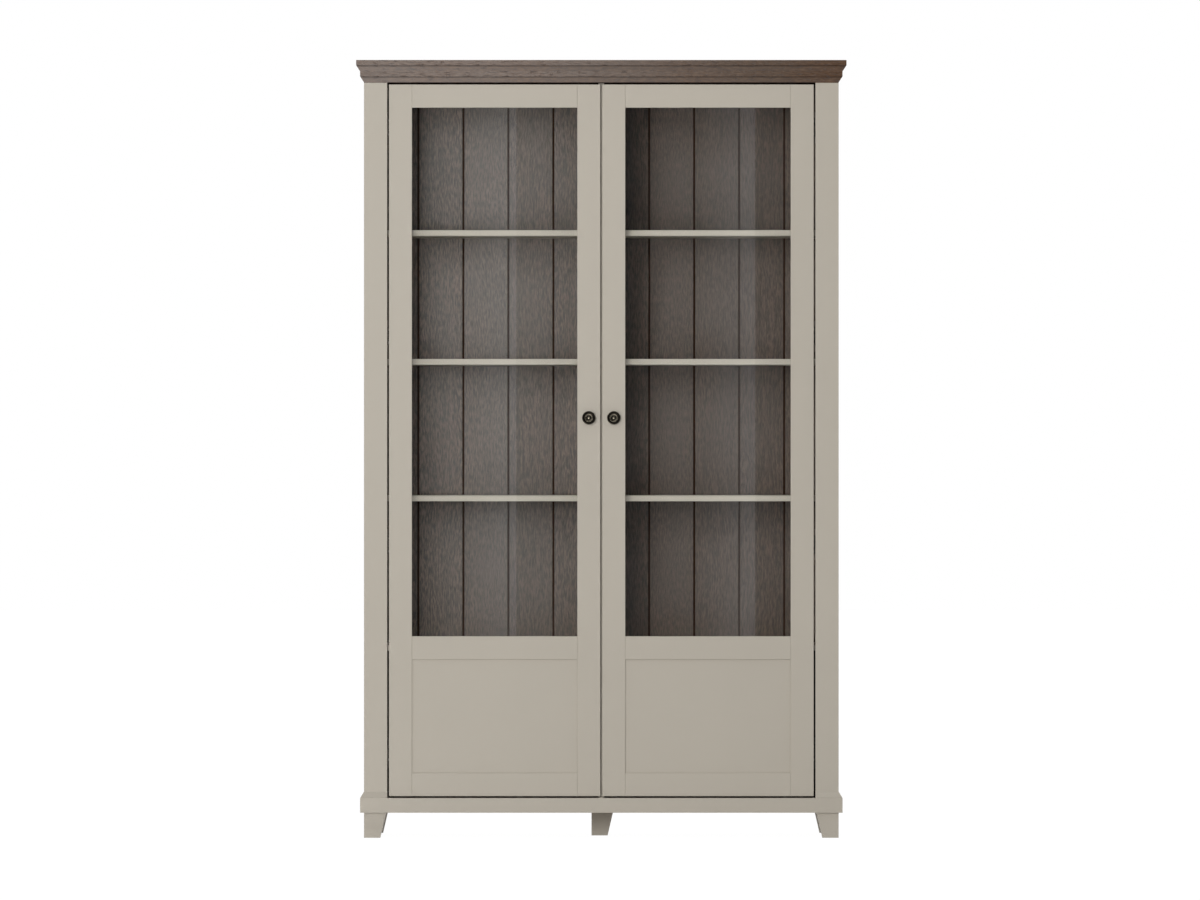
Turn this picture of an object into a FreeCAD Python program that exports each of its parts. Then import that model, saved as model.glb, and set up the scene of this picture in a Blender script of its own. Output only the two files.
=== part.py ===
import FreeCAD, Part
import math
import os
from FreeCAD import Vector

# A two-door bookcase of painted board with an oak-look cornice and back.
# Millimetres.  x runs to the right, y from the front plane of the doors and front
# stiles towards the wall, z up from the floor.  The finished pieces are moved back
# at the end so that the origin is under the middle of the whole bookcase.

# ---- Carcass -------------------------------------------------------------------
case_width = 1227.0            # over the outer faces of the two front stiles
case_depth = 410.0             # front plane to the rear edges of the side panels
opening_height = 1848.5        # plinth top to cornice underside
panel_thickness = 16.0         # side panels, floor panel, top panel
shelf_thickness = 15.0         # shelves and the centre partition
front_stile_width = 60.0
front_stile_thickness = 22.0
edge_round = 1.0               # eased front edges of the painted pieces
board_gap = 0.5                # loose fit of a board in its rebate

# ---- Back ----------------------------------------------------------------------
back_thickness = 8.0
back_rebate_width = 10.0       # how far the side panels lap over a back panel
back_boards_per_bay = 5
groove_width = 4.0
groove_depth = 2.2

# ---- Feet and plinth -----------------------------------------------------------
foot_height = 65.0
foot_top = 57.0                # square section under the plinth
foot_bottom = 42.0             # square section on the floor
middle_foot_shift = 3.0        # middle foot's centre to the right of the case centre
plinth_height = 38.0
plinth_projection = 10.0       # in front of the front plane and beside the sides
plinth_bevel_height = 15.0
bevel_land = 1.0               # flat left on top of the plinth bevel
bearer_width = 70.0

# ---- Cornice -------------------------------------------------------------------
cornice_land = 1.5             # upright strip under the lower bevel
cornice_bevel_height = 15.0
cornice_step = 10.0            # how far each bevel comes forward
cornice_fascia_height = 13.5
cornice_rebate = 8.0           # seat of the top board in the mouldings
quirk_width = 1.2              # fine shadow groove where a bevel meets a fascia
quirk_depth = 1.5

# ---- Shelves -------------------------------------------------------------------
clear_heights = (371.0, 339.0, 319.0)   # free height under each loose shelf
shelf_setback = 61.0           # loose shelf's front edge behind the partition's
shelf_end_gap = 1.0            # between a loose shelf and what stands around it
pin_radius = 2.5
pin_hole_depth = 6.5
pin_reach = 9.0                # how far a pin stands out under its shelf
pin_fit = 0.1
pin_inset = 40.0               # pin from the shelf's front or rear edge
pin_pitch = 32.0               # spare holes above and below each pin

# ---- Doors ---------------------------------------------------------------------
door_thickness = 22.0
door_stile_width = 59.5
door_rail_height = 60.0
lower_opening_height = 293.5   # between the bottom rail and the middle rail
door_side_gap = 4.5
door_centre_gap = 5.0
door_bottom_gap = 4.5
door_top_gap = 4.0
door_back_gap = 2.5            # between a closed door and what stands behind it
lip_thickness = 6.0            # frame in front of the glass and of the panel
rebate_width = 10.0
infill_gap = 1.0               # loose fit of glass and panel in their rebates
glass_thickness = 4.0
bead_gap = 0.5                 # bead set back behind the frame's inner edge
tenon_length = 20.0
tenon_thickness = 8.0
tenon_shoulder = 15.0
mortise_spare = 0.5            # air behind the end of a tenon

# ---- Knobs ---------------------------------------------------------------------
knob_height = 978.0            # above the door's bottom edge
knob_radius = 17.5
knob_projection = 24.0
knob_base_radius = 9.0
knob_base_height = 2.0
knob_base_bevel = 2.0          # height of the slope from the base to the neck
knob_neck_radius = 6.0
knob_neck_height = 8.0         # end of the straight neck in front of the door
knob_flare_bow = 2.0           # hollow of the flare between neck and rim
knob_rim_drop = 4.0            # rim behind the button's top
knob_rim_round = 1.5
knob_dish_bow = 1.5            # hollow of the dished face
knob_ring_radius = 9.5
knob_ring_width = 3.2
knob_ring_sink = 1.0           # foot of the raised ring behind the rim
knob_button_radius = 4.2
knob_button_height = 3.0
knob_screw_radius = 2.0
knob_screw_grip = 10.0         # length of screw inside the knob
screw_hole_fit = 0.25
thread_fit = 0.05

# ---- Hinges --------------------------------------------------------------------
hinges_per_door = 4
hinge_end_distance = 110.0     # first and last hinge from the door's ends
hinge_block_height = 80.0
hinge_block_depth = 60.0
cup_radius = 17.5
cup_depth = 12.5
cup_wall = 1.0
cup_edge = 5.0                 # wood left between the cup and the door's edge
cup_fit = 0.1
flange_thickness = 1.2
flange_margin = 1.0            # flange beyond the cup, across the door
flange_half_height = 30.0
flange_screw_height = 24.0
flange_notch_width = 18.0      # gap in the flange that the links fold into
flange_notch_reach = 8.0
inner_pivot = (17.0, 28.0)     # arm pivot from the door's swing axis
outer_pivot = (26.0, 17.0)     # cup pivot from the door's swing axis
hinge_pin_radius = 1.5
pin_running_fit = 0.05
inner_link_half_width = 3.0
inner_link_thickness = 8.0
outer_link_half_width = 1.7
outer_link_thickness = 2.0
link_side_gap = 0.3
arm_plate_thickness = 1.5
arm_eye_radius = 4.0
arm_depth = 12.0
arm_web_stop = 10.0            # web of the arm ends this far behind its pivot
mount_plate_thickness = 2.5
mount_plate_half_height = 9.0
wing_half_height = 24.0
wing_width = 18.0
plate_front_gap = 6.0          # plate and arm behind the front of the hinge block
plate_screw_height = 17.0

# ---- Wood screws ---------------------------------------------------------------
wood_screw_radius = 1.75
wood_screw_head_radius = 3.5
wood_screw_head_height = 1.8
wood_screw_length = 12.0
foot_screw_radius = 2.5
foot_screw_head_radius = 5.0
foot_screw_length = 45.0

# ---- Places that follow from the sizes above -----------------------------------
case_half = case_width / 2
inner_half = case_half - panel_thickness           # inner face of a side panel
opening_half = case_half - front_stile_width
partition_half = shelf_thickness / 2
floor_top = foot_height + plinth_height            # plinth top and case floor
floor_under = floor_top - panel_thickness
case_top = floor_top + opening_height              # underside of the cornice
top_panel_top = case_top + panel_thickness
back_front = case_depth - back_thickness           # front face of the back panels
inside_front = door_thickness + door_back_gap      # front edge of the partition
cornice_projection = 2 * cornice_step
cornice_height = cornice_land + 2 * (cornice_bevel_height + cornice_fascia_height)
cornice_top = case_top + cornice_height

door_outer = opening_half - door_side_gap          # hinge edge, distance from centre
door_inner = door_centre_gap / 2                   # lock edge, distance from centre
door_bottom = floor_top + door_bottom_gap
door_top = case_top - door_top_gap
window_outer = door_outer - door_stile_width
window_inner = door_inner + door_stile_width
lower_bottom = door_bottom + door_rail_height
lower_top = lower_bottom + lower_opening_height
window_bottom = lower_top + door_rail_height
window_top = door_top - door_rail_height

fixed_shelf_bottom = (lower_top + window_bottom - shelf_thickness) / 2
fixed_shelf_top = fixed_shelf_bottom + shelf_thickness
loose_front = inside_front + shelf_setback
loose_back = back_front - shelf_end_gap
loose_bottoms = []
level = fixed_shelf_top
for clear_height in clear_heights:
    loose_bottoms.append(level + clear_height)
    level += clear_height + shelf_thickness

hinge_axis = opening_half - door_side_gap / 2      # swing axis, distance from centre
cup_centre = door_outer - cup_edge - cup_radius
hinge_span = door_top - door_bottom - 2 * hinge_end_distance
hinge_levels = [door_bottom + hinge_end_distance + hinge_span * i / (hinges_per_door - 1)
                for i in range(hinges_per_door)]
knob_centre = door_inner + door_stile_width / 2
knob_level = door_bottom + knob_height

front_reach = max(knob_projection, cornice_projection)
centre_of_depth = (case_depth - front_reach) / 2   # y of the origin under the case


# ---- Shapes used by several pieces ---------------------------------------------
def block(x0, x1, y0, y1, z0, z1):
    """A board between two opposite corners."""
    low = Vector(min(x0, x1), y0, z0)
    return Part.makeBox(abs(x1 - x0), y1 - y0, z1 - z0, low)


def eased(shape, edges_wanted, radius):
    """The shape with the chosen straight edges rounded."""
    edges = [edge for edge in shape.Edges if edges_wanted(edge)]
    return shape.makeFillet(radius, edges)


def on_front(edge, y0):
    """True for an edge that lies in the plane y = y0."""
    return all(abs(vertex.Y - y0) < 1e-6 for vertex in edge.Vertexes)


def outline(points, plane):
    """A closed face through 2D points; plane turns a 2D point into a place."""
    places = [plane(a, b) for a, b in points]
    return Part.Face(Part.makePolygon(places + places[:1]))


def plan_prism(points, z0, z1):
    """An upright prism over a polygon drawn in plan."""
    return outline(points, lambda x, y: Vector(x, y, z0)).extrude(Vector(0, 0, z1 - z0))


def rod(start, direction, length, radius):
    return Part.makeCylinder(radius, length, start, direction)


def mirrored(shape):
    """The right-hand twin of a left-hand piece."""
    return shape.mirror(Vector(0, 0, 0), Vector(1, 0, 0))


def both_sides(shape):
    return Part.makeCompound([shape, mirrored(shape)])


# ---- Carcass boards ------------------------------------------------------------
def pin_rows():
    """Depth of the front and the rear row of shelf pins."""
    return (loose_front + pin_inset, loose_back - pin_inset)


def pin_holes(face_x, direction):
    """Three holes for each pin, bored from face_x along direction (+1 or -1)."""
    holes = []
    for bottom in loose_bottoms:
        for step in (-1, 0, 1):
            for y in pin_rows():
                start = Vector(face_x, y, bottom - pin_radius + step * pin_pitch)
                holes.append(rod(start, Vector(direction, 0, 0), pin_hole_depth,
                                 pin_radius + pin_fit))
    return holes


def side_panel():
    panel = block(-case_half, -inner_half, front_stile_thickness, case_depth,
                  foot_height, case_top)
    rebate = block(-inner_half - back_rebate_width, -inner_half, back_front, case_depth,
                   foot_height, case_top)
    return panel.cut(rebate).cut(pin_holes(-inner_half, -1))


def centre_partition():
    board = block(-partition_half, partition_half, inside_front, back_front,
                  floor_top, case_top)
    return board.cut(pin_holes(-partition_half, 1)).cut(pin_holes(partition_half, -1))


def floor_panel():
    return block(-inner_half, inner_half, front_stile_thickness, back_front,
                 floor_under, floor_top)


def top_panel():
    return block(-inner_half, inner_half, front_stile_thickness, back_front,
                 case_top, top_panel_top)


def front_stile():
    stile = block(-case_half, -opening_half, 0, front_stile_thickness, floor_top, case_top)

    def long_front_edge(edge):
        return on_front(edge, 0) and edge.Length > front_stile_width
    return eased(stile, long_front_edge, edge_round)


def fixed_shelf():
    return block(-inner_half, -partition_half, inside_front, back_front,
                 fixed_shelf_bottom, fixed_shelf_top)


def loose_shelf(bottom):
    shelf = block(-inner_half + shelf_end_gap, -partition_half - shelf_end_gap,
                  loose_front, loose_back, bottom, bottom + shelf_thickness)

    def long_front_edge(edge):
        return on_front(edge, loose_front) and edge.Length > shelf_thickness
    return eased(shelf, long_front_edge, edge_round)


def back_panel():
    """One bay's back, cut on the front with V grooves like planks side by side."""
    edge_x = inner_half + back_rebate_width - board_gap
    panel = block(-edge_x, 0, back_front, case_depth, floor_under, top_panel_top)
    plank = (inner_half - partition_half) / back_boards_per_bay
    for i in range(1, back_boards_per_bay):
        x = -partition_half - i * plank
        vee = [(x - groove_width / 2, back_front),
               (x + groove_width / 2, back_front),
               (x, back_front + groove_depth)]
        panel = panel.cut(plan_prism(vee, floor_under, top_panel_top))
    return panel


def shelf_pins():
    """A metal peg in each hole that carries a loose shelf."""
    pins = []
    length = pin_hole_depth + pin_reach
    for bottom in loose_bottoms:
        for y in pin_rows():
            z = bottom - pin_radius
            outer = Vector(-inner_half - pin_hole_depth, y, z)
            inner = Vector(-partition_half + pin_hole_depth, y, z)
            pins.append(rod(outer, Vector(1, 0, 0), length, pin_radius))
            pins.append(rod(inner, Vector(-1, 0, 0), length, pin_radius))
    return Part.makeCompound([both_sides(pin) for pin in pins])


# ---- Cornice -------------------------------------------------------------------
def cornice_profile(base):
    """Moulding section as (distance outwards, height); base is its depth inwards."""
    profile = [(-base, 0), (0, 0), (0, cornice_land)]
    out = 0
    height = cornice_land
    for _ in range(2):
        slope = cornice_step / cornice_bevel_height
        groove_low = height + cornice_bevel_height - quirk_width
        groove_out = out + cornice_step - slope * quirk_width
        height += cornice_bevel_height
        out += cornice_step
        profile.append((groove_out, groove_low))
        profile.append((out - quirk_depth, groove_low))
        profile.append((out - quirk_depth, height))
        profile.append((out, height))
        height += cornice_fascia_height
        profile.append((out, height))
    seat = height - panel_thickness
    profile += [(cornice_rebate - base, height), (cornice_rebate - base, seat), (-base, seat)]
    return profile


def mitre_side(base, far, depth):
    """Plan of everything at a left front corner that belongs to the side moulding."""
    corner = [(-base, -base), (-base, -depth), (far, -depth), (far, far)]
    return [(-case_half - out_x, -out_y) for out_x, out_y in corner]


def mitre_front(base, far):
    """Plan of everything at a left front corner that belongs to the front moulding."""
    corner = [(-base, -base), (-base, far), (far, far)]
    return [(-case_half - out_x, -out_y) for out_x, out_y in corner]


def cornice_front():
    half = case_half + cornice_projection
    section = outline(cornice_profile(front_stile_thickness),
                      lambda out, height: Vector(-half, -out, case_top + height))
    bar = section.extrude(Vector(2 * half, 0, 0))
    far = 2 * cornice_projection
    corner = plan_prism(mitre_side(panel_thickness, far, 2 * front_stile_thickness),
                        case_top, cornice_top)
    return bar.cut(corner).cut(mirrored(corner))


def cornice_side():
    section = outline(cornice_profile(panel_thickness),
                      lambda out, height: Vector(-case_half - out, -cornice_projection,
                                                 case_top + height))
    bar = section.extrude(Vector(0, case_depth + cornice_projection, 0))
    corner = plan_prism(mitre_front(panel_thickness, 2 * cornice_projection),
                        case_top, cornice_top)
    rebate = block(-inner_half - back_rebate_width, -inner_half, back_front, case_depth,
                   case_top, top_panel_top)
    return bar.cut(corner).cut(rebate)


def cornice_back_rail():
    return block(-inner_half, inner_half, case_depth - panel_thickness, case_depth,
                 top_panel_top, cornice_top - panel_thickness)


def cornice_top_board():
    half = inner_half + cornice_rebate
    front = front_stile_thickness - cornice_rebate
    return block(-half, half, front, case_depth, cornice_top - panel_thickness,
                 cornice_top)


# ---- Plinth and feet -----------------------------------------------------------
def plinth_bevel_profile():
    """Bevel above the plinth's top edge as (distance outwards, height)."""
    run = plinth_projection - bevel_land
    slope = run / plinth_bevel_height
    return [(0, 0),
            (plinth_projection - quirk_depth, 0),
            (plinth_projection - quirk_depth, quirk_width),
            (plinth_projection - slope * quirk_width, quirk_width),
            (bevel_land, plinth_bevel_height),
            (0, plinth_bevel_height)]


def plinth_front():
    """Front bar that the stiles stand on, bevelled up against each of them."""
    half = case_half + plinth_projection
    bar = block(-half, half, -plinth_projection, front_stile_thickness,
                foot_height, floor_top)
    section = outline(plinth_bevel_profile(),
                      lambda out, height: Vector(-half, -out, floor_top + height))
    bevel = section.extrude(Vector(half - opening_half, 0, 0))
    bar = bar.fuse(bevel).fuse(mirrored(bevel))
    corner = plan_prism(mitre_side(0, 2 * plinth_projection, 2 * front_stile_thickness),
                        foot_height, floor_top + plinth_bevel_height)
    return bar.cut(corner).cut(mirrored(corner)).removeSplitter()


def plinth_side():
    def place(out, height):
        return Vector(-case_half - out, -plinth_projection, floor_top + height)
    drop = floor_top - foot_height
    section = [(0, -drop), (plinth_projection, -drop), (plinth_projection, 0)]
    section += plinth_bevel_profile()[1:]
    bar = outline(section, place).extrude(Vector(0, case_depth + plinth_projection, 0))
    corner = plan_prism(mitre_front(0, 2 * plinth_projection), foot_height,
                        floor_top + plinth_bevel_height)
    return bar.cut(corner)


def plinth_back_rail():
    return block(-inner_half, inner_half, back_front - panel_thickness, back_front,
                 foot_height, floor_under)


def foot_screw(x, y):
    """Countersunk screw through a bearer into the foot below it."""
    head = Part.makeCone(foot_screw_radius, foot_screw_head_radius, foot_screw_radius,
                         Vector(x, y, floor_under - foot_screw_radius))
    shank = rod(Vector(x, y, floor_under - foot_screw_length), Vector(0, 0, 1),
                foot_screw_length - foot_screw_radius, foot_screw_radius)
    return head.fuse(shank)


def foot_screws():
    """One screw over each corner foot and one over the middle foot."""
    x = (inner_half + case_half - foot_top) / 2
    front_y = (front_stile_thickness + foot_top) / 2
    back_y = case_depth - foot_top + (foot_top - panel_thickness - back_thickness) / 2
    corners = [both_sides(foot_screw(-x, y)) for y in (front_y, back_y)]
    return corners + [foot_screw(middle_foot_shift, case_depth / 2)]


def floor_bearers():
    """Rails under the case floor that the feet are screwed to."""
    y0 = front_stile_thickness
    y1 = back_front - panel_thickness
    side = block(-inner_half, -inner_half + bearer_width, y0, y1, foot_height, floor_under)
    middle = block(-bearer_width / 2, bearer_width / 2, y0, y1, foot_height, floor_under)
    rails = [side, middle, mirrored(side)]
    return Part.makeCompound([rail.cut(foot_screws()) for rail in rails])


def tapered_foot(x0, y0, straight_back):
    """Square foot with an upright outer side at x0, sloping in on the other side.

    y0 is its front at the top; it slopes in on its rear side, or on its front side
    where straight_back is true.
    """
    slope = foot_top - foot_bottom
    x1 = x0 + foot_top
    y1 = y0 + foot_top
    foot = block(x0, x1, y0, y1, 0, foot_height)
    inner = [Vector(x1, y0, foot_height), Vector(x1, y0, 0), Vector(x1 - slope, y0, 0)]
    if straight_back:
        rear = [Vector(x0, y0, foot_height), Vector(x0, y0, 0), Vector(x0, y0 + slope, 0)]
    else:
        rear = [Vector(x0, y1, foot_height), Vector(x0, y1, 0), Vector(x0, y1 - slope, 0)]
    across = Vector(foot_top, 0, 0)
    along = Vector(0, foot_top, 0)
    for corners, reach in ((inner, along), (rear, across)):
        wedge = Part.Face(Part.makePolygon(corners + corners[:1])).extrude(reach)
        foot = foot.cut(wedge)
    upright = [edge for edge in foot.Edges if edge.BoundBox.ZLength > foot_height / 2]
    return foot.makeFillet(edge_round, upright).cut(foot_screws())


def corner_feet():
    front = tapered_foot(-case_half, 0, False)
    back = tapered_foot(-case_half, case_depth - foot_top, True)
    return Part.makeCompound([both_sides(front), both_sides(back)])


def middle_foot():
    x0 = middle_foot_shift - foot_top / 2
    return tapered_foot(x0, (case_depth - foot_top) / 2, False)


# ---- Doors ---------------------------------------------------------------------
def front_edges_eased(member):
    return eased(member, lambda edge: on_front(edge, 0), edge_round)


def infill_rebates():
    """Pockets cut from behind round the window and round the lower panel."""
    pockets = []
    for z0, z1 in ((window_bottom, window_top), (lower_bottom, lower_top)):
        pockets.append(block(-window_outer - rebate_width, -window_inner + rebate_width,
                             lip_thickness, door_thickness,
                             z0 - rebate_width, z1 + rebate_width))
    return pockets


def rail_levels():
    return {"bottom": door_bottom, "middle": lower_top, "top": window_top}


def tenons(spare):
    """Stub tenons at both ends of all three rails, longer by spare."""
    reach = tenon_length + spare
    y0 = (door_thickness - tenon_thickness) / 2
    stubs = []
    for z in rail_levels().values():
        z0 = z + tenon_shoulder
        z1 = z + door_rail_height - tenon_shoulder
        for x0, x1 in ((-window_outer - reach, -window_outer),
                       (-window_inner, -window_inner + reach)):
            stubs.append(block(x0, x1, y0, y0 + tenon_thickness, z0, z1))
    return stubs


def door_rail(name):
    z0 = rail_levels()[name]
    z1 = z0 + door_rail_height
    rail = front_edges_eased(block(-window_outer, -window_inner, 0, door_thickness, z0, z1))
    stubs = [stub for stub in tenons(0) if z0 < stub.CenterOfMass.z < z1]
    return rail.cut(infill_rebates()).fuse(stubs)


def lock_stile():
    stile = block(-door_inner - door_stile_width, -door_inner, 0, door_thickness,
                  door_bottom, door_top)
    hole = rod(Vector(-knob_centre, 0, knob_level), Vector(0, 1, 0), door_thickness,
               knob_screw_radius + screw_hole_fit)
    return front_edges_eased(stile).cut(infill_rebates() + tenons(mortise_spare) + [hole])


def hinge_stile():
    stile = block(-door_outer, -door_outer + door_stile_width, 0, door_thickness,
                  door_bottom, door_top)
    cups = [rod(Vector(-cup_centre, door_thickness - cup_depth - cup_fit, z),
                Vector(0, 1, 0), cup_depth + cup_fit, cup_radius + cup_fit)
            for z in hinge_levels]
    cuts = infill_rebates() + tenons(mortise_spare) + cups + cup_screws(screw_hole_fit)
    return front_edges_eased(stile).cut(cuts)


def infill(z0, z1, thickness):
    """A sheet that lies in a rebate against the frame's lip."""
    reach = rebate_width - infill_gap
    return block(-window_outer - reach, -window_inner + reach,
                 lip_thickness, lip_thickness + thickness, z0 - reach, z1 + reach)


def door_glass():
    return infill(window_bottom, window_top, glass_thickness)


def lower_panel():
    return infill(lower_bottom, lower_top, door_thickness - lip_thickness)


def glass_beads():
    """Four strips that hold the glass against the lip from behind."""
    x0 = -window_outer - rebate_width
    x1 = -window_inner + rebate_width
    z0 = window_bottom - rebate_width
    z1 = window_top + rebate_width
    width = rebate_width - bead_gap
    y0 = lip_thickness + glass_thickness
    y1 = door_thickness
    return Part.makeCompound([
        block(x0, x0 + width, y0, y1, z0, z1),
        block(x1 - width, x1, y0, y1, z0, z1),
        block(x0 + width, x1 - width, y0, y1, z0, z0 + width),
        block(x0 + width, x1 - width, y0, y1, z1 - width, z1)])


# ---- Knobs ---------------------------------------------------------------------
def knob_profile():
    """Half section of the knob as (radius, distance out, bow of the edge that follows).

    From the door outwards: foot, waisted neck, rounded rim, hollow face, raised ring,
    well and a domed button.
    """
    rim = knob_projection - knob_rim_drop
    under_rim = rim - 2 * knob_rim_round
    rim_in = knob_radius - knob_rim_round
    ring_half = knob_ring_width / 2
    ring_foot = rim - knob_ring_sink
    dome_radius = ((knob_button_radius ** 2 + knob_button_height ** 2)
                   / (2 * knob_button_height))
    half_angle = math.asin(knob_button_radius / dome_radius) / 2
    return [(0, 0, 0),
            (knob_base_radius, 0, 0),
            (knob_base_radius, knob_base_height, 0),
            (knob_neck_radius, knob_base_height + knob_base_bevel, 0),
            (knob_neck_radius, knob_neck_height, knob_flare_bow),
            (rim_in, under_rim, -knob_rim_round),
            (rim_in, rim, knob_dish_bow),
            (knob_ring_radius + ring_half, ring_foot, -ring_half),
            (knob_ring_radius - ring_half, ring_foot, 0),
            (knob_button_radius, knob_projection - knob_button_height,
             -dome_radius * (1 - math.cos(half_angle))),
            (0, knob_projection, 0)]


def bowed(start, end, bow):
    """Middle of an arc between two points that bows out to its left by bow."""
    dx = end[0] - start[0]
    dy = end[1] - start[1]
    length = math.hypot(dx, dy)
    return ((start[0] + end[0]) / 2 - dy / length * bow,
            (start[1] + end[1]) / 2 + dx / length * bow)


def knob():
    def place(point):
        return Vector(-knob_centre + point[0], -point[1], knob_level)
    profile = knob_profile()
    edges = []
    for start, end in zip(profile, profile[1:] + profile[:1]):
        bow = start[2]
        if bow:
            middle = place(bowed(start, end, bow))
            edges.append(Part.Arc(place(start), middle, place(end)).toShape())
        else:
            edges.append(Part.makeLine(place(start), place(end)))
    face = Part.Face(Part.Wire(edges))
    turned = face.revolve(Vector(-knob_centre, 0, knob_level), Vector(0, 1, 0), 360)
    bore = rod(Vector(-knob_centre, -knob_screw_grip - mortise_spare, knob_level),
               Vector(0, 1, 0), knob_screw_grip + mortise_spare,
               knob_screw_radius + thread_fit)
    return turned.cut(bore)


def knob_screw():
    start = Vector(-knob_centre, -knob_screw_grip, knob_level)
    shank = rod(start, Vector(0, 1, 0), knob_screw_grip + door_thickness, knob_screw_radius)
    head = rod(Vector(-knob_centre, door_thickness, knob_level), Vector(0, 1, 0),
               knob_screw_radius, 2 * knob_screw_radius)
    return shank.fuse(head)


# ---- Hinges --------------------------------------------------------------------
# Each door hangs on concealed cup hinges.  The inner link turns on the arm, the outer
# link on the cup, and both meet at an elbow pin.  Arm pivot, elbow, cup pivot and the
# swing axis stand at the corners of a parallelogram, so the inner link turns with the
# door and the outer link keeps its direction while the door swings.
def from_axis(dx, dy):
    """Plan place at (dx, dy) from the left door's swing axis."""
    return (-hinge_axis + dx, dy)


arm_pivot = from_axis(*inner_pivot)
cup_pivot = from_axis(*outer_pivot)
elbow = from_axis(inner_pivot[0] + outer_pivot[0], inner_pivot[1] + outer_pivot[1])
inner_half_height = inner_link_thickness / 2
outer_low = inner_half_height + link_side_gap
outer_high = outer_low + outer_link_thickness
arm_low = outer_high - arm_plate_thickness / 2
arm_high = arm_low + arm_plate_thickness
block_face = -opening_half                          # inner face of a hinge block


def upright_pin(place, z, half_height, radius):
    return rod(Vector(place[0], place[1], z - half_height), Vector(0, 0, 1),
               2 * half_height, radius)


def strap(start, end, half_width, z0, z1):
    """Flat link with round ends between two pivots drawn in plan."""
    dx = end[0] - start[0]
    dy = end[1] - start[1]
    length = math.hypot(dx, dy)
    side = (-dy / length * half_width, dx / length * half_width)
    corners = [(start[0] + side[0], start[1] + side[1]), (end[0] + side[0], end[1] + side[1]),
               (end[0] - side[0], end[1] - side[1]), (start[0] - side[0], start[1] - side[1])]
    bar = plan_prism(corners, z0, z1)
    ends = [rod(Vector(x, y, z0), Vector(0, 0, 1), z1 - z0, half_width)
            for x, y in (start, end)]
    return bar.fuse(ends)


def hinge_blocks():
    """Packing blocks behind the front stiles that carry the hinge arms."""
    blocks = []
    for z in hinge_levels:
        blocks.append(both_sides(block(
            -inner_half, block_face, front_stile_thickness,
            front_stile_thickness + hinge_block_depth,
            z - hinge_block_height / 2, z + hinge_block_height / 2).cut(arm_screws(z))))
    return Part.makeCompound(blocks)


def arm_screws(z):
    """Two screws through the wings of a mounting plate into the hinge block."""
    face = block_face + mount_plate_thickness
    y = front_stile_thickness + hinge_block_depth / 2
    screws = []
    for side in (-1, 1):
        level = z + side * plate_screw_height
        shank = rod(Vector(face, y, level), Vector(-1, 0, 0), wood_screw_length,
                    wood_screw_radius)
        head = rod(Vector(face, y, level), Vector(1, 0, 0), wood_screw_head_height,
                   wood_screw_head_radius)
        screws.append(shank.fuse(head))
    return screws


def hinge_arm(z):
    """Mounting plate, channel-shaped arm and arm pin of one hinge."""
    y0 = front_stile_thickness + plate_front_gap
    y1 = front_stile_thickness + hinge_block_depth
    face = block_face + mount_plate_thickness
    plate = block(block_face, face, y0, y1, z - mount_plate_half_height,
                  z + mount_plate_half_height)
    middle = front_stile_thickness + hinge_block_depth / 2
    wing = block(block_face, face, middle - wing_width / 2, middle + wing_width / 2,
                 z - wing_half_height, z + wing_half_height)
    plate = plate.fuse(wing).cut(arm_screws(z))

    top = face + arm_depth
    web_front = arm_pivot[1] + arm_web_stop
    reach = arm_eye_radius / math.sqrt(2)
    cheek = [(face, y1), (top, y1), (top, web_front),
             (arm_pivot[0] + reach, arm_pivot[1] + reach),
             (arm_pivot[0] - reach, arm_pivot[1] - reach), (face, y0)]
    arm = block(top - arm_plate_thickness, top, web_front, y1, z - arm_high, z + arm_high)
    for z0 in (z + arm_low, z - arm_high):
        arm = arm.fuse(plan_prism(cheek, z0, z0 + arm_plate_thickness))
        arm = arm.fuse(rod(Vector(arm_pivot[0], arm_pivot[1], z0), Vector(0, 0, 1),
                           arm_plate_thickness, arm_eye_radius))
    arm = arm.cut(upright_pin(arm_pivot, z, arm_high, hinge_pin_radius))
    return [plate, arm.removeSplitter(), upright_pin(arm_pivot, z, arm_high, hinge_pin_radius)]


def inner_link(z):
    link = strap(arm_pivot, elbow, inner_link_half_width, z - inner_half_height,
                 z + inner_half_height)
    for place in (arm_pivot, elbow):
        link = link.cut(upright_pin(place, z, arm_high, hinge_pin_radius + pin_running_fit))
    return link


def outer_link(z):
    """Two straps riveted to the elbow pin; they turn on the pin in the cup."""
    link = upright_pin(elbow, z, outer_high, hinge_pin_radius)
    for z0 in (z + outer_low, z - outer_high):
        z1 = z0 + outer_link_thickness
        link = link.fuse(strap(cup_pivot, elbow, outer_link_half_width, z0, z1))
        for x, y in (cup_pivot, elbow):
            link = link.fuse(rod(Vector(x, y, z0), Vector(0, 0, 1), outer_link_thickness,
                                 inner_link_half_width))
    eye = upright_pin(cup_pivot, z, outer_high, hinge_pin_radius + pin_running_fit)
    return link.cut(eye).removeSplitter()


def cup_flange_box(z):
    return block(-cup_centre - cup_radius - flange_margin, -cup_centre + cup_radius
                 + flange_margin, door_thickness, door_thickness + flange_thickness,
                 z - flange_half_height, z + flange_half_height)


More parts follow.
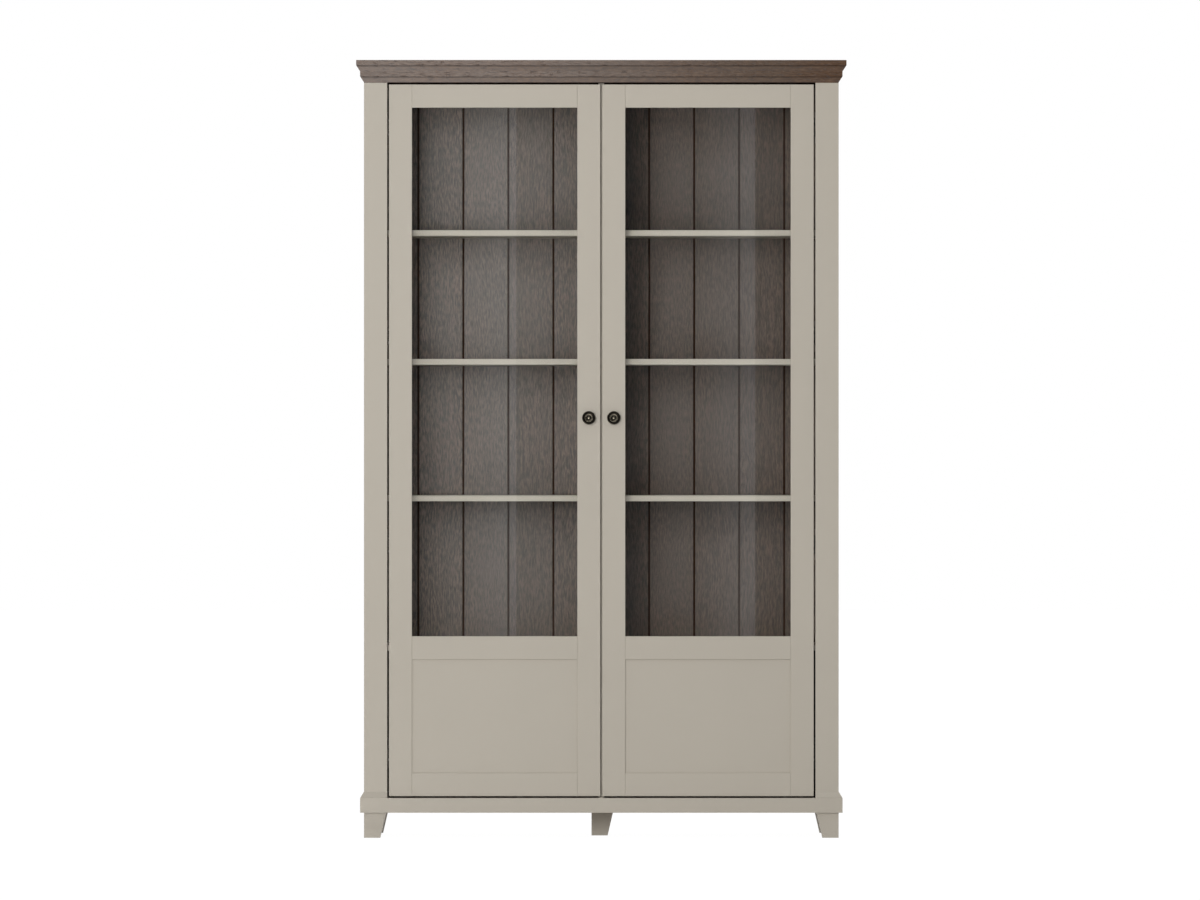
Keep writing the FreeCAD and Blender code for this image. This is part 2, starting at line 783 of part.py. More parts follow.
def hinge_cup(z):
    """Pressed cup with its flange, and the pin across it."""
    floor_y = door_thickness - cup_depth
    start = Vector(-cup_centre, floor_y, z)
    shell = rod(start, Vector(0, 1, 0), cup_depth, cup_radius).fuse(cup_flange_box(z))
    inside = rod(Vector(-cup_centre, floor_y + cup_wall, z), Vector(0, 1, 0),
                 cup_depth + flange_thickness, cup_radius - cup_wall)
    edge_x = -cup_centre - cup_radius - flange_margin
    notch = block(edge_x, edge_x + flange_notch_reach, door_thickness,
                  door_thickness + flange_thickness, z - flange_notch_width / 2,
                  z + flange_notch_width / 2)
    offset = cup_pivot[0] + cup_centre
    half_height = math.sqrt((cup_radius - cup_wall / 2) ** 2 - offset ** 2)
    pin = upright_pin(cup_pivot, z, half_height, hinge_pin_radius)
    shell = shell.cut([inside, notch, pin] + cup_screws_at(z, 0))
    return [shell.removeSplitter(), pin]


def cup_screws_at(z, fit):
    """Two screws through the flange of one cup, thicker by fit as pilot holes."""
    screws = []
    face = door_thickness + flange_thickness
    for side in (-1, 1):
        level = z + side * flange_screw_height
        shank = rod(Vector(-cup_centre, face, level), Vector(0, -1, 0), wood_screw_length,
                    wood_screw_radius + fit)
        head = rod(Vector(-cup_centre, face, level), Vector(0, 1, 0),
                   wood_screw_head_height, wood_screw_head_radius)
        screws.append(shank.fuse(head))
    return screws


def cup_screws(fit):
    return [screw for z in hinge_levels for screw in cup_screws_at(z, fit)]


def door_screws():
    """The knob's screw and the screws of the hinge cups."""
    return Part.makeCompound([knob_screw()] + cup_screws(0))


def carcass_screws():
    """Screws of the feet and of the hinge mounting plates."""
    plates = [both_sides(screw) for z in hinge_levels for screw in arm_screws(z)]
    return Part.makeCompound(foot_screws() + plates)


def every_level(make):
    """The same hinge pieces at each hinge height, as one group of solids."""
    group = []
    for z in hinge_levels:
        made = make(z)
        group += made if isinstance(made, list) else [made]
    return Part.makeCompound(group)


# ---- All pieces ----------------------------------------------------------------
pieces = {
    "centre_partition": centre_partition(),
    "floor_panel": floor_panel(),
    "top_panel": top_panel(),
    "cornice_front": cornice_front(),
    "cornice_back_rail": cornice_back_rail(),
    "cornice_top_board": cornice_top_board(),
    "plinth_front": plinth_front(),
    "plinth_back_rail": plinth_back_rail(),
    "floor_bearers": floor_bearers(),
    "corner_feet": corner_feet(),
    "middle_foot": middle_foot(),
    "hinge_blocks": hinge_blocks(),
    "shelf_pins": shelf_pins(),
    "carcass_screws": carcass_screws(),
}
paired = {
    "side_panel": side_panel(),
    "front_stile": front_stile(),
    "fixed_shelf": fixed_shelf(),
    "back_panel": back_panel(),
    "cornice_side": cornice_side(),
    "plinth_side": plinth_side(),
    "door_hinge_stile": hinge_stile(),
    "door_lock_stile": lock_stile(),
    "door_top_rail": door_rail("top"),
    "door_middle_rail": door_rail("middle"),
    "door_bottom_rail": door_rail("bottom"),
    "door_lower_panel": lower_panel(),
    "door_glass": door_glass(),
    "door_glass_beads": glass_beads(),
    "door_knob": knob(),
    "door_screws": door_screws(),
    "hinge_arms": every_level(hinge_arm),
    "hinge_inner_links": every_level(inner_link),
    "hinge_outer_links": every_level(outer_link),
    "hinge_cups": every_level(hinge_cup),
}
for number, bottom in enumerate(loose_bottoms, 1):
    paired["shelf_" + str(number)] = loose_shelf(bottom)
for name, shape in paired.items():
    pieces["left_" + name] = shape
    pieces["right_" + name] = mirrored(shape)

os.makedirs("parts", exist_ok=True)
for name, shape in pieces.items():
    shape.translate(Vector(0, -centre_of_depth, 0))
    shape.exportStep("parts/" + name + ".step")
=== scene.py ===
import math

import bpy
import numpy as np
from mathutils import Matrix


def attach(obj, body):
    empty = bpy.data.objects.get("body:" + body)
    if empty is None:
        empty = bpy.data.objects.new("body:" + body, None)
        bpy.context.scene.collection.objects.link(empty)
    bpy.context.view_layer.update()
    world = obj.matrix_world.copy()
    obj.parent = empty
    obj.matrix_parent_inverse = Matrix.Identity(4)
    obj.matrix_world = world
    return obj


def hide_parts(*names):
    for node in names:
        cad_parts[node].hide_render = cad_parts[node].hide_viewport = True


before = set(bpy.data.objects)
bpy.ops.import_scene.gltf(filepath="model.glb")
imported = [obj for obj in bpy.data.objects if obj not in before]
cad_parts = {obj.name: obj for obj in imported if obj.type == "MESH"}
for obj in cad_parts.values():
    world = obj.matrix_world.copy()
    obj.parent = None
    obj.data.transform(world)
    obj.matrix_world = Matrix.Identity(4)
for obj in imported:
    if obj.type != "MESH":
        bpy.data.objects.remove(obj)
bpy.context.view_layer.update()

# ---- Painted boards ------------------------------------------------------------
# Carcass sides, front stiles, plinth, feet, door frames and door panels are
# fibreboard with a satin cashmere lacquer, sprayed and rubbed down, so the face is even
# with a very fine orange peel.


class Wire:
    """An output of a shader node; sums and products of wires add their Math nodes."""

    def __init__(self, finish, socket):
        self.finish = finish
        self.socket = socket

    def math(self, operation, *others, clamp=False):
        """A Math node on this wire and the others, in that order."""
        return self.finish.calculate(operation, self, *others, clamp=clamp)

    def __add__(self, other):
        return self.finish.calculate("ADD", self, other)

    def __radd__(self, other):
        return self.finish.calculate("ADD", other, self)

    def __sub__(self, other):
        return self.finish.calculate("SUBTRACT", self, other)

    def __rsub__(self, other):
        return self.finish.calculate("SUBTRACT", other, self)

    def __mul__(self, other):
        return self.finish.calculate("MULTIPLY", self, other)

    def __rmul__(self, other):
        return self.finish.calculate("MULTIPLY", other, self)

    def __truediv__(self, other):
        return self.finish.calculate("DIVIDE", self, other)

    def __rtruediv__(self, other):
        return self.finish.calculate("DIVIDE", other, self)

    def step(self, low, high):
        """0 below low, 1 above high, smooth between; falls instead if high < low."""
        return self.finish.node("ShaderNodeMapRange", {"interpolation_type": "SMOOTHSTEP"}, {
            "Value": self, "From Min": min(low, high), "From Max": max(low, high),
            "To Min": float(high < low), "To Max": float(low < high)})


class Finish:
    """A material that is put together node by node."""

    def __init__(self, name):
        self.material = bpy.data.materials.new(name)
        self.material.use_nodes = True
        self.tree = self.material.node_tree
        self.tree.nodes.clear()

    def node(self, kind, settings=(), sockets=(), out=0):
        """A new node: its settings, then the values or wires of its sockets."""
        made = self.tree.nodes.new(kind)
        for name, value in dict(settings).items():
            if name == "stops":
                elements = made.color_ramp.elements
                while len(elements) < len(value):
                    elements.new(0.5)
                for element, (place, colour) in zip(elements, value):
                    element.position = place
                    element.color = colour
            else:
                setattr(made, name, value)
        for name, value in dict(sockets).items():
            if isinstance(value, Wire):
                self.tree.links.new(value.socket, made.inputs[name])
            else:
                made.inputs[name].default_value = value
        return Wire(self, made.outputs[out]) if made.outputs else None

    def calculate(self, operation, *values, clamp=False):
        """A Math node on wires or numbers."""
        return self.node("ShaderNodeMath", {"operation": operation, "use_clamp": clamp},
                         dict(enumerate(values)))

    def place(self):
        """x, y and z of a point of the object, in metres."""
        coordinates = self.node("ShaderNodeTexCoord", out="Object")
        return [self.node("ShaderNodeSeparateXYZ", (), {"Vector": coordinates}, axis)
                for axis in "XYZ"]

    def noise(self, x, y, z, detail, roughness=0.5):
        """Smooth noise about 0, mostly within 0.25, at a point given in its own cells."""
        point = self.node("ShaderNodeCombineXYZ", (), {"X": x, "Y": y, "Z": z})
        return self.node("ShaderNodeTexNoise", (), {
            "Vector": point, "Scale": 1.0, "Detail": detail, "Roughness": roughness}, "Fac") - 0.5

    def even_noise(self, place, cells, detail, roughness=0.5):
        """Noise that is alike in every direction, with so many cells to the metre."""
        return self.noise(*(axis * cells for axis in place), detail, roughness)

    def mix(self, factor, first, second):
        """A colour between two others; 0, 6 and 7 are the node's factor and colours."""
        return self.node("ShaderNodeMix", {"data_type": "RGBA"},
                         {0: factor, 6: first, 7: second}, out=2)

    def bump(self, height, depth, strength=1.0):
        """Turned normals of a relief that is depth metres deep for a height of 1."""
        return self.node("ShaderNodeBump", (), {
            "Height": height, "Distance": depth, "Strength": strength})

    def principled(self, sockets):
        """A Principled surface."""
        return self.node("ShaderNodeBsdfPrincipled", (), sockets)

    def blend(self, factor, first, second):
        """A surface between two others."""
        return self.node("ShaderNodeMixShader", (), {0: factor, 1: first, 2: second})

    def ends(self, shader):
        """Makes a shader the surface of the material."""
        self.node("ShaderNodeOutputMaterial", (), {"Surface": shader})
        return self


def rgb(red, green, blue):
    """A colour given as it looks on a screen, from 0 to 255."""
    shares = [c / 255 for c in (red, green, blue)]
    linear = [s / 12.92 if s <= 0.04045 else ((s + 0.055) / 1.055) ** 2.4 for s in shares]
    return (*linear, 1.0)


def dress(finish, *nodes):
    """Gives CAD nodes a finish."""
    for name in nodes:
        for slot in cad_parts[name].material_slots:
            slot.material = finish.material


def pair(*names):
    """The names of the left and the right piece for each name."""
    return [side + name for name in names for side in ("left_", "right_")]


def lacquer(name, colour, roughness):
    """An even coat: slow clouds of a slightly other shade, and a very fine orange peel."""
    cloudiness = 0.035
    finish = Finish(name)
    place = finish.place()
    cloud = finish.even_noise(place, cells=3.0, detail=3.0)
    peel = finish.even_noise(place, cells=320.0, detail=1.0)
    deeper = (*(c * (1 - cloudiness) for c in colour[:3]), 1.0)
    paler = (*(c * (1 + cloudiness) for c in colour[:3]), 1.0)
    return finish.ends(finish.principled({
        "Base Color": finish.mix(cloud.math("ADD", 0.5, clamp=True), deeper, paler),
        "Roughness": cloud * 0.08 + roughness,
        "Specular IOR Level": 0.46,
        "Normal": finish.bump(peel, depth=0.0001, strength=0.35)}))


satin = 0.36
cashmere = rgb(174, 167, 155)
dress(lacquer("cashmere_lacquer", cashmere, satin),
      "plinth_front", "corner_feet", "middle_foot", "hinge_blocks",
      *pair("side_panel", "front_stile", "plinth_side", "door_hinge_stile",
            "door_lock_stile", "door_top_rail", "door_middle_rail", "door_bottom_rail",
            "door_lower_panel", "door_glass_beads"))

# ---- Boards inside the case ----------------------------------------------------
# Shelves, partition and floor are particle board with a matt foil of the lacquer's tone,
# edges included, painted a shade paler as painted light for what the panes dim.
matt = 0.62
cashmere_painted_lighter = rgb(188, 181, 169)
dress(lacquer("cashmere_foil", cashmere_painted_lighter, matt), "centre_partition", "floor_panel",
      *pair("fixed_shelf", "shelf_1", "shelf_2", "shelf_3"))

# ---- Hidden rails --------------------------------------------------------------
# Bearers under the floor panel and the rails behind plinth and cornice are plain
# softwood, planed and left raw.
softwood = Finish("planed_softwood")
x, y, z = softwood.place()
ring = softwood.noise(x * 2.5, y * 60.0, z * 60.0, detail=3.0)
softwood.ends(softwood.principled({
    "Base Color": softwood.mix(ring + 0.5, rgb(176, 144, 104), rgb(214, 188, 148)),
    "Roughness": ring * 0.2 + 0.65,
    "Normal": softwood.bump(ring, depth=0.0003)}))
dress(softwood, "floor_bearers", "plinth_back_rail", "cornice_back_rail")

# ---- Back panels ---------------------------------------------------------------
# Each bay has a fibreboard back with a smoked oak face, grooved on the front like
# five upright planks, the grooves darkened and dulled with painted shade.  The face towards
# the wall is plain brown hardboard, dark along the joint of the two backs behind the partition.
plank_pitch = 0.118
partition_half = 0.0075
groove_shade_half = 0.0029            # the painted groove shade runs just under a millimetre over the cut's edges
wall_face = 0.2155            # depth at which the hardboard begins
seam_half = 0.0004


def oak(finish, across, along, seed, flame, figure, deep, middle, pale):
    """Colour and pores of smoked oak.

    across and along are metres across and along the grain, seed shifts the pattern.
    Each layer is a noise with so many cells to the metre across and along.  The rings
    are long, and bent by a slow drift times flame, so that they run out in flames;
    streaks are finer and shorter, flecks shorter still, both as strong as figure says;
    pores are thin dashes where such a noise is high; clouds make the wood greyer.
    """
    bent = across + finish.noise(across * 7.0, along * 1.9, seed * 3.1, detail=2.0) * flame

    def layer(line, cells_across, cells_along, shift, detail, roughness=0.5):
        return finish.noise(line * cells_across, along * cells_along, seed + shift,
                            detail, roughness)

    rings = layer(bent, 60.0, 1.6, shift=4.0, detail=3.0, roughness=0.6)
    streaks = layer(bent, 310.0, 9.0, shift=9.0, detail=3.0, roughness=0.65)
    flecks = layer(bent, 370.0, 60.0, shift=27.0, detail=1.0)
    pores = layer(bent, 430.0, 42.0, shift=15.0, detail=1.5).step(0.04, 0.17)
    clouds = layer(across, 9.0, 3.5, shift=21.0, detail=1.5).step(-0.2, 0.2)
    shade = rings * 0.3 + (streaks * 0.8 + flecks * 1.3) * figure + 0.5
    wood = finish.node("ShaderNodeValToRGB", {
        "stops": [(0.0, deep), (0.5, middle), (1.0, pale)]}, {"Fac": shade})
    greyer = finish.mix(clouds * 0.3, wood, rgb(71, 65, 58))
    return finish.mix(pores * 0.65, greyer, deep), pores


# Odd shifts from one plank to the next give each its own part of the grain.
boards = Finish("smoked_oak_planks")
x, y, z = boards.place()
bay = x.math("SIGN")          # -1 on the left, 1 on the right
planks = (x.math("ABSOLUTE") - partition_half) / plank_pitch
number = planks.math("FLOOR")
plank_seed = number * 1.7 + bay * 11.3
grain, pores = oak(boards, x + number * 0.31, z + plank_seed * 0.37, plank_seed, flame=0.06,
                   figure=2.2, deep=rgb(37, 28, 21), middle=rgb(75, 61, 50),
                   pale=rgb(97, 81, 68))

# Planks differ a little in tone at random; the right bay's are darkened and browned as painted
# shade.
lively = boards.node("ShaderNodeTexWhiteNoise", {"noise_dimensions": "1D"}, {"W": plank_seed})
shaded = boards.mix(lively * 0.25, grain, rgb(70, 59, 50))
right_bay_shade = boards.mix(bay.step(-0.5, 0.5) * 0.28, shaded, rgb(50, 34, 23))

# A groove lies along each joint of two planks, but none along the partition.
share = planks.math("FRACT")
from_joint = share.math("MINIMUM", 1.0 - share) * plank_pitch
groove = from_joint.step(groove_shade_half, groove_shade_half * 0.8) * planks.step(0.5, 0.6)

fibres = boards.noise(x * 420.0, y * 420.0, z * 150.0, detail=3.0, roughness=0.6)
mottle = boards.even_noise((x, y, z), cells=9.0, detail=4.0, roughness=0.6)
fibre_shade = (fibres * 0.9 + mottle * 0.5).math("ADD", 0.5, clamp=True)
pressed = boards.mix(fibre_shade, rgb(104, 74, 50), rgb(158, 121, 87))
seam = x.math("ABSOLUTE").step(2 * seam_half, seam_half)
hardboard = boards.mix(seam * 0.85, pressed, rgb(34, 24, 17))
behind = y.step(wall_face, wall_face + 0.0005)
plank_face = boards.principled({
    "Base Color": boards.mix(behind, right_bay_shade, hardboard),
    "Roughness": pores * 0.2 + behind * 0.3 + 0.32,
    "Specular IOR Level": 0.7,
    "Normal": boards.bump(1.0 - pores, depth=0.00003)})
# Painted shade in the grooves: a dark surface without sheen.
painted_groove_shade = boards.principled({
    "Base Color": rgb(44, 26, 16), "Roughness": 0.8, "Specular IOR Level": 0.05})
boards.ends(boards.blend(groove * (1.0 - behind), plank_face, painted_groove_shade))
dress(boards, *pair("back_panel"))

# ---- Cornice -------------------------------------------------------------------
# A moulding of solid smoked oak, mitred at the front corners, with two bevels and two
# bands and a fine quirk between them.  The quirks, and the foot over the doors, are
# darkened and dulled with painted shade.  A veneered top board is laid into it.
quirk_levels = (1.9682, 1.9967)
quirk_shade_reach = 0.0052          # so far below its quirk the painted shade has faded away
cornice_foot = 1.9515
doorway_half = 0.5535
planed_level = 2.0098         # the top edges from here up are planed, not polished
polished_roughness = 0.23
planed_roughness = 0.42
for name, along_axis, flame, roughness, nodes in (
        ("smoked_oak_lengthwise", 0, 0.015, polished_roughness, ["cornice_front"]),
        ("smoked_oak_sideways", 1, 0.015, polished_roughness, pair("cornice_side")),
        ("smoked_oak_veneer", 0, 0.05, planed_roughness, ["cornice_top_board"])):
    moulding = Finish(name)
    place = moulding.place()
    height = place[2]
    grain, pores = oak(moulding, height + place[1 - along_axis] * 0.8, place[along_axis],
                       40.0 + along_axis, flame, figure=0.7, deep=rgb(46, 30, 20),
                       middle=rgb(81, 58, 40), pale=rgb(107, 82, 61))
    over_doors = place[0].math("ABSOLUTE").step(doorway_half, doorway_half - 0.001)
    # Painted shade: a dark, dull band along the cornice's foot over the doors, and a weaker one
    # below each quirk.
    painted_shade = height.step(cornice_foot + 0.0019, cornice_foot + 0.0009) * over_doors
    for level in quirk_levels:
        below = level - height
        quirk_shade = below.step(-0.0002, 0.0003) * below.step(quirk_shade_reach, quirk_shade_reach / 2)
        painted_shade = quirk_shade * 0.4 + painted_shade
    planed = height.step(planed_level - 0.0006, planed_level)
    polished = moulding.principled({
        "Base Color": grain,
        "Roughness": pores * 0.12 + planed * (planed_roughness - roughness) + roughness,
        "Specular IOR Level": 0.5,
        "Normal": moulding.bump(1.0 - pores, depth=0.00003)})
    # The dark surface without sheen that the painted shade blends in.
    painted_shade_surface = moulding.principled({
        "Base Color": rgb(30, 20, 14), "Roughness": 0.8, "Specular IOR Level": 0.05})
    moulding.ends(moulding.blend(painted_shade, polished, painted_shade_surface))
    dress(moulding, *nodes)

# ---- Top panel -----------------------------------------------------------------
# The particle board under the cornice has a matt foil of smoked oak, made near black as
# painted shade, so the gap over the doors stays black.
shade_foil = Finish("painted_shade_oak_foil")
x, y, z = shade_foil.place()
streak = shade_foil.noise(x * 4.0, y * 300.0, z * 300.0, detail=3.0)
shade_foil.ends(shade_foil.principled({
    "Base Color": shade_foil.mix(streak + 0.5, rgb(20, 15, 11), rgb(36, 28, 22)),
    "Roughness": streak * 0.2 + 0.85,
    "Specular IOR Level": 0.05,
    "Normal": shade_foil.bump(streak, depth=0.00003)}))
dress(shade_foil, "top_panel")

# ---- Door panes ----------------------------------------------------------------
# Clear float glass, 4 mm thick, laid into the frame from behind.  Lamplight goes
# straight through it.
pane = Finish("clear_float_glass")
shadow = pane.node("ShaderNodeLightPath", out="Is Shadow Ray")
scattered = pane.node("ShaderNodeLightPath", out="Is Diffuse Ray")
float_glass = pane.principled({
    "Base Color": rgb(253, 253, 253), "Roughness": 0.0, "IOR": 1.5,
    "Transmission Weight": 1.0})
clear_way = pane.node("ShaderNodeBsdfTransparent", (), {"Color": rgb(254, 255, 254)})
pane.ends(pane.blend(shadow.math("MAXIMUM", scattered), float_glass, clear_way))
dress(pane, *pair("door_glass"))

# ---- Knobs ---------------------------------------------------------------------
# Cast and turned button knobs with a blackened bronze plating: a rolled rim, a hollow
# face, a thin raised ring, and a domed button in the dish inside it.  A screw from
# behind the door holds each; the plating is rubbed through a little on rim, ring and dome.
knob_centre = (0.03225, -0.193, 1.0855)   # of the right knob, on the door's face
knob_steps = 72


def knob_profile():
    """Radius and height out from the door, in mm, from the end of the bore to the dome.

    Straight lines make bore, foot and neck.  Along the flare the height grows evenly
    and the radius with the power 2.6; the rim is a half circle; inside it the face
    falls as a sine does, down to the dish, which falls evenly towards the button; the
    ring is a bell curve where the two meet; the button's head is a part of a sphere.
    """
    base = np.array([(0, 10.5), (2.1, 10.5), (2.1, 0), (8.6, 0), (9, 0.4), (9, 1.6),
                     (8.6, 2.2), (7, 3.2), (6.2, 4.6)], float)
    neck_radius, neck_end, flare_power = 6.0, 7.0, 2.6
    rim_radius, rim_height, rim_round = 15.9, 18.3, 1.6
    grown = np.linspace(0, 1, 14)
    flare = np.stack([neck_radius + (rim_radius - neck_radius) * grown ** flare_power,
                      neck_end + (rim_height - rim_round - neck_end) * grown], 1)
    angle = np.linspace(-0.5, 0.5, 12)[1:] * math.pi
    rim = np.stack([rim_radius + rim_round * np.cos(angle),
                    rim_height + rim_round * np.sin(angle)], 1)

    hollow_foot, hollow_depth = 10.9, 1.9
    hollow_floor = rim_height + rim_round - hollow_depth
    ring_radius, ring_height, ring_width = 10.1, 0.35, 0.7
    dish_start, dish_floor, dish_slope, dish_end = 5.2, 17.6, 0.19, 9.7
    face_start, face_end, blend_width = 15.7, 5.3, 1.3
    radius = np.linspace(face_start, face_end, 60)
    inward = np.clip((radius - hollow_foot) / (rim_radius - hollow_foot), 0, 1)
    hollow = hollow_floor + hollow_depth * np.sin(inward * math.pi / 2)
    dish = dish_floor + dish_slope * (radius - dish_start)
    share = np.clip((radius - dish_end) / blend_width, 0, 1)
    ring = ring_height * np.exp(-((radius - ring_radius) / ring_width) ** 2)
    face = np.stack([radius, hollow * share + dish * (1 - share) + ring], 1)

    button_radius, dome_radius, dome_middle = 5.0, 5.15, 18.85
    swing = np.linspace(1, 0, 14) * math.asin(button_radius / dome_radius)
    dome = np.stack([dome_radius * np.sin(swing), dome_middle + dome_radius * np.cos(swing)], 1)
    return np.concatenate([base, flare, rim, face, dome])


def turn(name, centre, profile, steps):
    """A turned piece whose axis points out of the door, along -Y.

    Point (i, j) is centre + (r_i cos a_j, -h_i, r_i sin a_j); the rows' ends lie on the
    axis and close the poles.
    """
    radius, height = profile.T / 1000
    angle = np.arange(steps) * 2 * math.pi / steps
    rows = np.stack([np.outer(radius[1:-1], np.cos(angle)),
                     np.outer(-height[1:-1], np.ones(steps)),
                     np.outer(radius[1:-1], np.sin(angle))], 2)
    poles = np.array([[0, -height[0], 0], [0, -height[-1], 0]])
    points = np.concatenate([rows.reshape(-1, 3), poles]) + centre
    here = np.arange(steps)
    after = (here + 1) % steps
    low = np.arange(len(rows) - 1)[:, None] * steps
    walls = np.stack([low + here, low + after, low + steps + after, low + steps + here], 2)
    first_pole = len(rows) * steps
    last_row = first_pole - steps
    first_cap = np.stack([after, here, np.full(steps, first_pole)], 1)
    last_cap = np.stack([last_row + here, last_row + after, np.full(steps, first_pole + 1)], 1)
    mesh = bpy.data.meshes.new(name)
    mesh.from_pydata(points.tolist(), [], walls.reshape(-1, 4).tolist()
                     + first_cap.tolist() + last_cap.tolist())
    mesh.shade_smooth()
    made = bpy.data.objects.new(name, mesh)
    bpy.context.scene.collection.objects.link(made)
    return made


# Where the plating is worn: each mask fades between two radii, and begins so far out
# from the door, in metres; its last number says how much bronze shows through.
bronze = Finish("blackened_bronze")
x, y, z = bronze.place()
aside = x.math("ABSOLUTE") - knob_centre[0]
above = z - knob_centre[2]
from_axis = (aside * aside + above * above).math("SQRT")
out = knob_centre[1] - y
blotch = bronze.even_noise((x, y, z), cells=260.0, detail=3.0)
on_rim = from_axis.step(0.0158, 0.0168) * out.step(0.015, 0.018) * 0.2
on_ring = from_axis.step(0.0060, 0.0072) * from_axis.step(0.0110, 0.0102) * 0.26
on_dome = from_axis.step(0.0038, 0.0014) * 0.65
on_face = on_ring.math("MAXIMUM", on_dome) * out.step(0.016, 0.017)
rubbed = on_rim.math("MAXIMUM", on_face) * (blotch + 0.9)
plating = bronze.mix(blotch + 0.5, rgb(15, 14, 12), rgb(29, 26, 22))
bronze.ends(bronze.principled({
    "Base Color": bronze.mix(rubbed, plating, rgb(188, 178, 156)),
    "Metallic": 1.0,
    "Roughness": blotch * 0.2 - rubbed * 0.12 + 0.3}))
for side, hand in (("left_", -1), ("right_", 1)):
    knob = turn(side + "button_knob", np.multiply(knob_centre, (hand, 1, 1)),
                knob_profile(), knob_steps)
    knob.data.materials.append(bronze.material)
    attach(knob, side + "door")
    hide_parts(side + "door_knob")

# ---- Hinges --------------------------------------------------------------------
# Bought-in concealed hinges, four to a door, pressed and riveted from steel, with a
# dark burnished nickel finish.


def nickel(name, deep, pale, roughness):
    """Nickel on steel, a little smeared."""
    finish = Finish(name)
    smear = finish.even_noise(finish.place(), cells=90.0, detail=3.0)
    return finish.ends(finish.principled({
        "Base Color": finish.mix(smear + 0.5, deep, pale),
        "Metallic": 1.0,
        "Roughness": smear * 0.15 + roughness}))


dress(nickel("burnished_nickel", rgb(62, 58, 54), rgb(84, 80, 75), roughness=0.38),
      *pair("hinge_arms", "hinge_inner_links", "hinge_outer_links", "hinge_cups"))

# ---- Screws and shelf pins -----------------------------------------------------
# Turned steel with bright nickel plating.  The screws hold feet, hinges and knobs; the
# pins are pushed into holes of sides and partition and carry the loose shelves.
dress(nickel("nickel_plate", rgb(178, 173, 165), rgb(208, 204, 196), roughness=0.28),
      "shelf_pins", "carcass_screws", *pair("door_screws"))

# ---- Studio --------------------------------------------------------------------
# A white room with a white floor.  A tall soft lamp far off in front, a little to the
# left, reaches into the bays; the room's own light comes from all sides but straight in
# front, most of it from behind, while camera, mirrors and glass see plain white.
daylight_around = 0.45
daylight_behind = 0.6
pure_white = (1.0, 1.0, 1.0, 1.0)

lamp_data = bpy.data.lights.new("key", "AREA")
lamp_data.shape = "RECTANGLE"
lamp_data.size = 1.8
lamp_data.size_y = 3.7
lamp_data.energy = 461.0
lamp = bpy.data.objects.new("key", lamp_data)
lamp.location = (-1.2, -9.0, 1.9)
lamp.rotation_euler = (math.pi / 2, 0.0, 0.0)
lamp.visible_camera = False
lamp.visible_glossy = False
bpy.context.scene.collection.objects.link(lamp)


class Room(Finish):
    """The world's nodes, put together like a finish."""

    def __init__(self, tree):
        self.tree = tree
        self.tree.nodes.clear()


def seen_directly(finish):
    """1 for rays from the camera, a mirror or through glass."""
    from_camera, mirrored, through = [
        finish.node("ShaderNodeLightPath", out=kind)
        for kind in ("Is Camera Ray", "Is Glossy Ray", "Is Transmission Ray")]
    return from_camera.math("MAXIMUM", mirrored.math("MAXIMUM", through))


world = bpy.data.worlds.new("white_room")
world.use_nodes = True
bpy.context.scene.world = world
room = Room(world.node_tree)
direction = room.node("ShaderNodeTexCoord", out="Generated")
rearwards = room.node("ShaderNodeSeparateXYZ", (), {"Vector": direction}, "Y")
daylight = (rearwards.step(-0.95, -0.8) * daylight_around
            + rearwards.step(-0.05, 0.45) * daylight_behind)
seen = seen_directly(room)
background = room.node("ShaderNodeBackground", (), {
    "Color": pure_white, "Strength": daylight * (1.0 - seen) + seen})
room.node("ShaderNodeOutputWorld", (), {"Surface": background})


def sheet(name, across, depth, height):
    """A flat sheet of the studio from its near lower edge to its far upper edge.

    Its corners are (x, near y, low z) and (x, far y, high z) for both ends of across,
    so equal depths stand it upright and equal heights lay it level.
    """
    left, right = across
    near, far = depth
    low, high = height
    mesh = bpy.data.meshes.new(name)
    mesh.from_pydata([(left, near, low), (right, near, low),
                      (right, far, high), (left, far, high)], [], [(0, 1, 2, 3)])
    made = bpy.data.objects.new(name, mesh)
    bpy.context.scene.collection.objects.link(made)
    return made


floor_half = 40.0
floor_colour = (0.68, 0.68, 0.68, 1.0)
floor_whiteness = 0.93        # the rest is its own colour, which keeps the shadow
floor = sheet("floor", (-floor_half, floor_half), (-floor_half, floor_half), (0, 0))
ground = Finish("white_floor")
matt_floor = ground.node("ShaderNodeBsdfDiffuse", (), {"Color": floor_colour})
white_floor = ground.node("ShaderNodeEmission", (), {"Color": pure_white, "Strength": 1.06})
ground.ends(ground.blend(seen_directly(ground) * floor_whiteness, matt_floor, white_floor))
floor.data.materials.append(ground.material)


def only_mirrored(card, finish, glow, for_gloss_of=None):
    """Lets a card glow for rays that gloss or a mirror has turned, and for no others.

    It may be there only for the gloss of "front" pieces or of what is "inside", behind
    the panes; then the panes themselves don't mirror it.  A ray that a pane alone turns
    passes its faces twice at most, one from inside the case at least three times.
    """
    for kind in ("camera", "diffuse", "shadow", "volume_scatter"):
        setattr(card, "visible_" + kind, False)
    turned = finish.node("ShaderNodeLightPath", out="Glossy Depth")
    shown = turned.math("GREATER_THAN", 0.5)
    passed = finish.node("ShaderNodeLightPath", out="Transmission Depth")
    if for_gloss_of == "front":
        sharp = finish.node("ShaderNodeLightPath", out="Is Singular Ray")
        shown = shown * passed.math("LESS_THAN", 0.5) * (1.0 - sharp)
    if for_gloss_of == "inside":
        shown = shown * passed.math("GREATER_THAN", 2.5)
    nothing = finish.node("ShaderNodeBsdfTransparent")
    glowing = finish.node("ShaderNodeEmission", (), {"Color": pure_white, "Strength": glow})
    finish.ends(finish.blend(shown, nothing, glowing))
    finish.material.cycles.emission_sampling = "NONE"
    card.data.materials.append(finish.material)


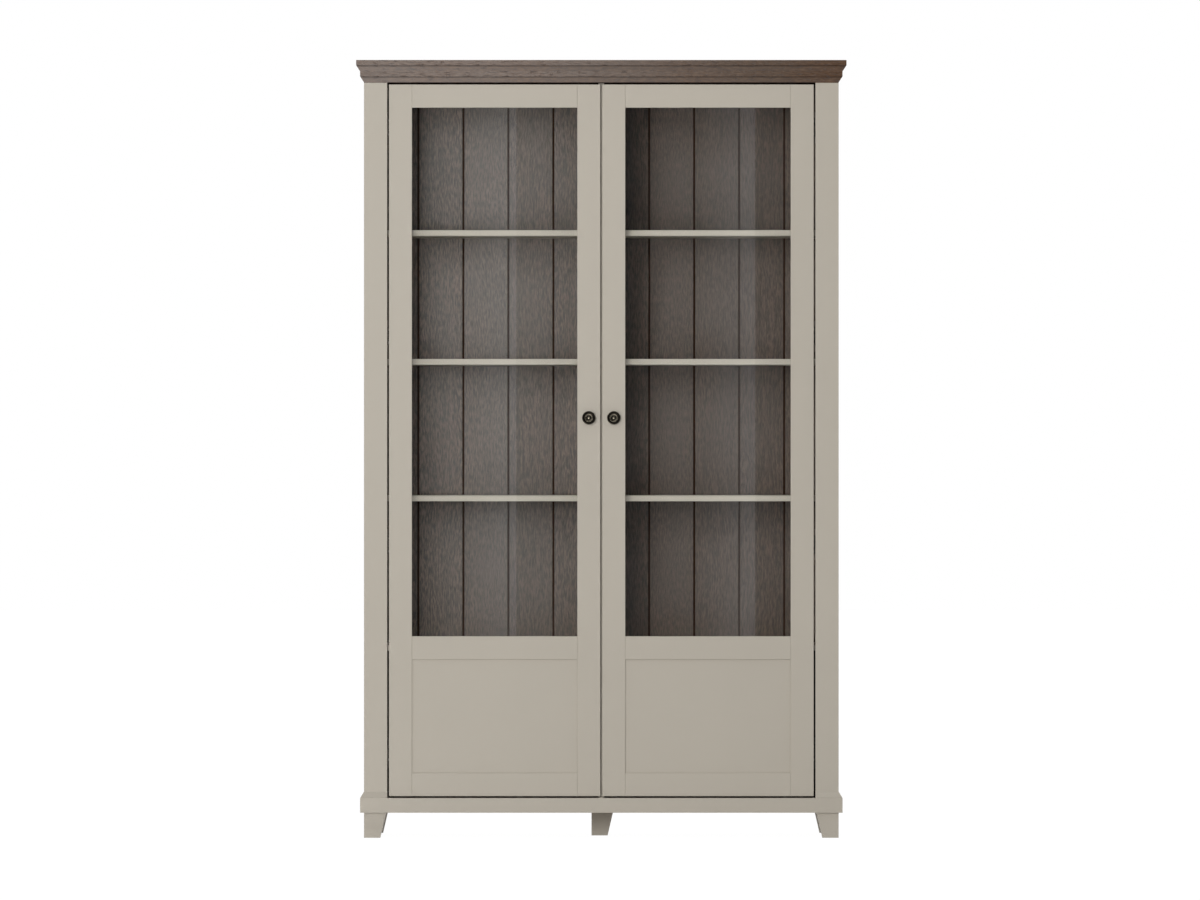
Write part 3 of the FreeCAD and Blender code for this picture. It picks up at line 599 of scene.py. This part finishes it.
# The panes mirror a dark screen with two upright strips, each brighter towards its
# right edge and cut off there.  The strips' edges are given where they show on the
# doors; on the screen, which is farther off, they lie screen_spread times as wide.
screen_depth = -8.9
screen_spread = 1.3056
screen_glow = 0.02
screen = sheet("screen", (-5, 12), (screen_depth, screen_depth), (-4, 6))
strips = Finish("dark_screen")
x = strips.place()[0]
for left, right, brightest in ((-0.365, -0.2192, 0.38), (0.2551, 0.3989, 0.5)):
    rise = strips.node("ShaderNodeMapRange", (), {
        "Value": x, "From Min": left * screen_spread, "From Max": right * screen_spread,
        "To Min": 0.0, "To Max": brightest})
    screen_glow = rise * x.math("LESS_THAN", right * screen_spread) + screen_glow
only_mirrored(screen, strips, screen_glow)

# Two cards on the left give their sheen to the fronts and to what stands behind the
# panes.  A level one low in front, brighter towards the left, shows in the cornice.
sheen_depth = -5.5
for name, across, height, glow, pieces in (
        ("front_sheen", (-1.5, 0.15), (0.7, 2.9), 4.4, "front"),
        ("inside_sheen", (-1.85, -0.53), (0.78, 3.2), 9.0, "inside")):
    card = sheet(name, across, (sheen_depth, sheen_depth), height)
    only_mirrored(card, Finish(name), glow, pieces)
low_card = sheet("low_card", (-1.6, 1.6), (-2.4, -0.35), (0.03, 0.03))
low_sheen = Finish("low_card")
x = low_sheen.place()[0]
low_glow = low_sheen.node("ShaderNodeMapRange", (), {
    "Value": x, "From Min": -0.7, "From Max": 0.6, "To Min": 3.8, "To Max": 0.55})
only_mirrored(low_card, low_sheen, low_glow, "front")

# ---- Camera --------------------------------------------------------------------
# It stands far off, straight in front and at half the bookcase's height, so the view
# has almost no perspective.
camera_data = bpy.data.cameras.new("camera")
camera_data.sensor_width = 36.0
camera_data.lens = 330.75
camera_data.clip_end = 200.0
camera = bpy.data.objects.new("camera", camera_data)
camera.location = (-0.0034, -28.693, 1.0025)
camera.rotation_euler = (math.pi / 2, 0.0, 0.0)
bpy.context.scene.collection.objects.link(camera)
bpy.context.scene.camera = camera
bpy.context.scene.view_settings.view_transform = "Standard"
